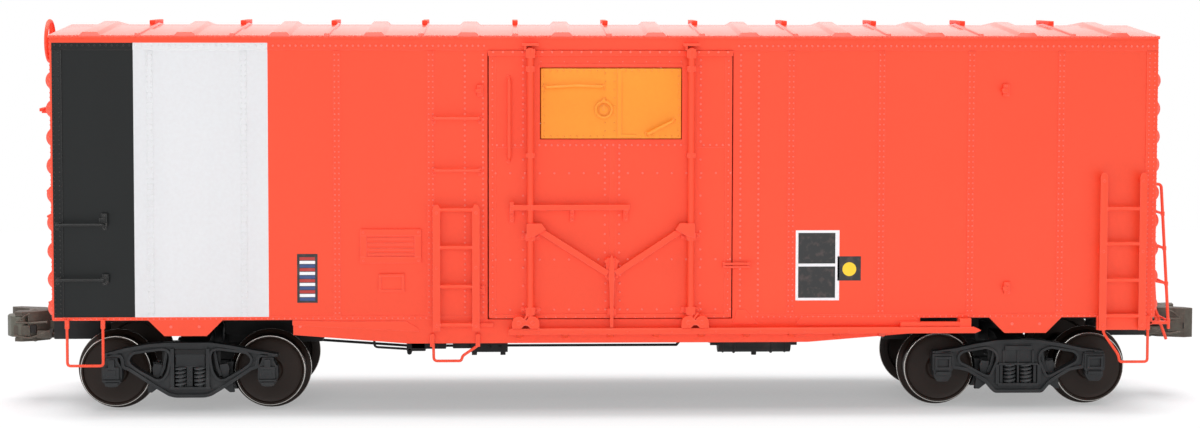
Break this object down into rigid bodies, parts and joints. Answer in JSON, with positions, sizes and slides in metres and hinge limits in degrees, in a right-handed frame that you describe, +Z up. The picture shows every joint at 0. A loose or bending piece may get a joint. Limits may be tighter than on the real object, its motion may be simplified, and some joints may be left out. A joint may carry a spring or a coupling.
{
  "type": "HO scale model railroad boxcar",
  "caption": "Scale model plug door boxcar on swivelling trucks, with sprung knuckle couplers, ladders, door gear, hand brake and a detailed underframe.",
  "frame": {"origin": "middle of the car, on the plane the wheel flanges stand on", "axes": "+X along the car towards the end without the hand brake, +Y to its left, +Z up"},
  "size_m": [0.1656, 0.037, 0.0528],
  "materials": {
    "body_paint": "satin orange-red paint on moulded plastic",
    "hatch_paint": "satin yellow-orange paint",
    "underframe_black": "matt black moulded plastic",
    "truck_plastic": "matt dark grey moulded plastic",
    "wheel_steel": "blackened wheel with a bright tread",
    "coupler_metal": "brown cast metal",
    "screw_steel": "blackened steel screw"
  },
  "bodies": {
    "car_body": {"side_right": "body_paint", "side_left": "body_paint", "end_a": "body_paint", "end_b": "body_paint", "roof": "body_paint", "running_board_saddles": "body_paint", "door_right": "body_paint", "door_left": "body_paint", "door_gear_right": "body_paint", "door_gear_left": "body_paint", "door_track_right": "body_paint", "door_track_left": "body_paint", "ladders_right": "body_paint", "ladders_left": "body_paint", "grab_irons_right": "body_paint", "grab_irons_left": "body_paint", "end_ladder_a": "body_paint", "end_ladder_b": "body_paint", "steps_right": "body_paint", "steps_left": "body_paint", "placard_boards_right": "body_paint", "placard_boards_left": "body_paint", "brake_wheel": "body_paint", "brake_housing": "body_paint", "brake_step": "body_paint", "cut_lever_a": "body_paint", "cut_lever_b": "body_paint", "hatch_right": "hatch_paint", "hatch_left": "hatch_paint", "floor": "underframe_black", "underframe": "underframe_black", "air_reservoir": "underframe_black", "control_valve": "underframe_black", "brake_cylinder": "underframe_black", "brake_rods": "underframe_black", "draft_box_a": "underframe_black", "draft_box_b": "underframe_black", "kingpin_a": "screw_steel", "kingpin_b": "screw_steel"},
    "truck_b": {"sideframes_b": "truck_plastic", "truck_bolster_b": "truck_plastic", "brake_beams_b": "truck_plastic"},
    "axle_1": {"wheelset_1": "wheel_steel"},
    "axle_2": {"wheelset_2": "wheel_steel"},
    "coupler_body_b": {"coupler_b": "coupler_metal"},
    "knuckle_body_b": {"knuckle_b": "coupler_metal"},
    "truck_a": {"sideframes_a": "truck_plastic", "truck_bolster_a": "truck_plastic", "brake_beams_a": "truck_plastic"},
    "axle_3": {"wheelset_3": "wheel_steel"},
    "axle_4": {"wheelset_4": "wheel_steel"},
    "coupler_body_a": {"coupler_a": "coupler_metal"},
    "knuckle_body_a": {"knuckle_a": "coupler_metal"}
  },
  "joints": [
    {"name": "truck_b_swivel", "type": "hinge", "parent": "car_body", "child": "truck_b", "pos_m": [-0.056, 0, 0.01055], "axis": [0, 0, 1], "range_deg": [-8, 8]},
    {"name": "wheelset_1_spin", "type": "hinge", "parent": "truck_b", "child": "axle_1", "pos_m": [-0.0664, 0, 0.00543], "axis": [0, 1, 0], "continuous": true},
    {"name": "wheelset_2_spin", "type": "hinge", "parent": "truck_b", "child": "axle_2", "pos_m": [-0.0456, 0, 0.00543], "axis": [0, 1, 0], "continuous": true},
    {"name": "coupler_b_swing", "type": "hinge", "parent": "car_body", "child": "coupler_body_b", "pos_m": [-0.0716, 0, 0.01045], "axis": [0, 0, 1], "range_deg": [-8, 8], "stiffness_Nm_per_rad": 0.0005},
    {"name": "knuckle_b_open", "type": "hinge", "parent": "coupler_body_b", "child": "knuckle_body_b", "pos_m": [-0.0807, -0.0019, 0.01045], "axis": [0, 0, 1], "range_deg": [0, 20], "stiffness_Nm_per_rad": 0.0001},
    {"name": "truck_a_swivel", "type": "hinge", "parent": "car_body", "child": "truck_a", "pos_m": [0.056, 0, 0.01055], "axis": [0, 0, 1], "range_deg": [-8, 8]},
    {"name": "wheelset_3_spin", "type": "hinge", "parent": "truck_a", "child": "axle_3", "pos_m": [0.0456, 0, 0.00543], "axis": [0, 1, 0], "continuous": true},
    {"name": "wheelset_4_spin", "type": "hinge", "parent": "truck_a", "child": "axle_4", "pos_m": [0.0664, 0, 0.00543], "axis": [0, 1, 0], "continuous": true},
    {"name": "coupler_a_swing", "type": "hinge", "parent": "car_body", "child": "coupler_body_a", "pos_m": [0.0716, 0, 0.01045], "axis": [0, 0, 1], "range_deg": [-8, 8], "stiffness_Nm_per_rad": 0.0005},
    {"name": "knuckle_a_open", "type": "hinge", "parent": "coupler_body_a", "child": "knuckle_body_a", "pos_m": [0.0807, 0.0019, 0.01045], "axis": [0, 0, 1], "range_deg": [0, 20], "stiffness_Nm_per_rad": 0.0001}
  ]
}
